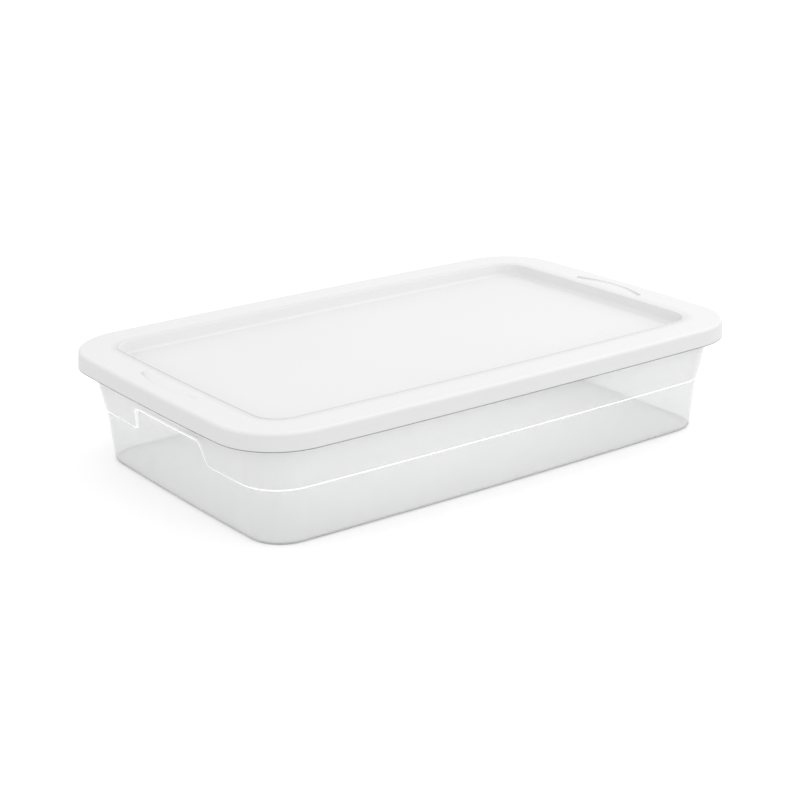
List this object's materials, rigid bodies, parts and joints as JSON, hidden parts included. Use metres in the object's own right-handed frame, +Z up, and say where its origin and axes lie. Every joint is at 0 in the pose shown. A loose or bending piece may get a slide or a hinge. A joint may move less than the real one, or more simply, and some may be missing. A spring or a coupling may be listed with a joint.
{
  "type": "under bed storage box",
  "caption": "Low clear plastic storage tub with rounded corners, a stepped wall and end hand holds, closed by a lift-off white lid with a recessed panel.",
  "frame": {"origin": "on the floor under the middle of the closed box", "axes": "+X along the long side, +Y across, +Z up"},
  "size_m": [0.75, 0.4766, 0.1458],
  "materials": {
    "clear_plastic": "satin translucent polypropylene",
    "white_plastic": "satin white polypropylene"
  },
  "bodies": {
    "tub": {"tub": "clear_plastic"},
    "lid": {"lid": "white_plastic"}
  },
  "joints": [
    {"name": "lid_lift", "type": "slide", "parent": "tub", "child": "lid", "axis": [0, 0, 1], "range_m": [0, 0.2]}
  ]
}
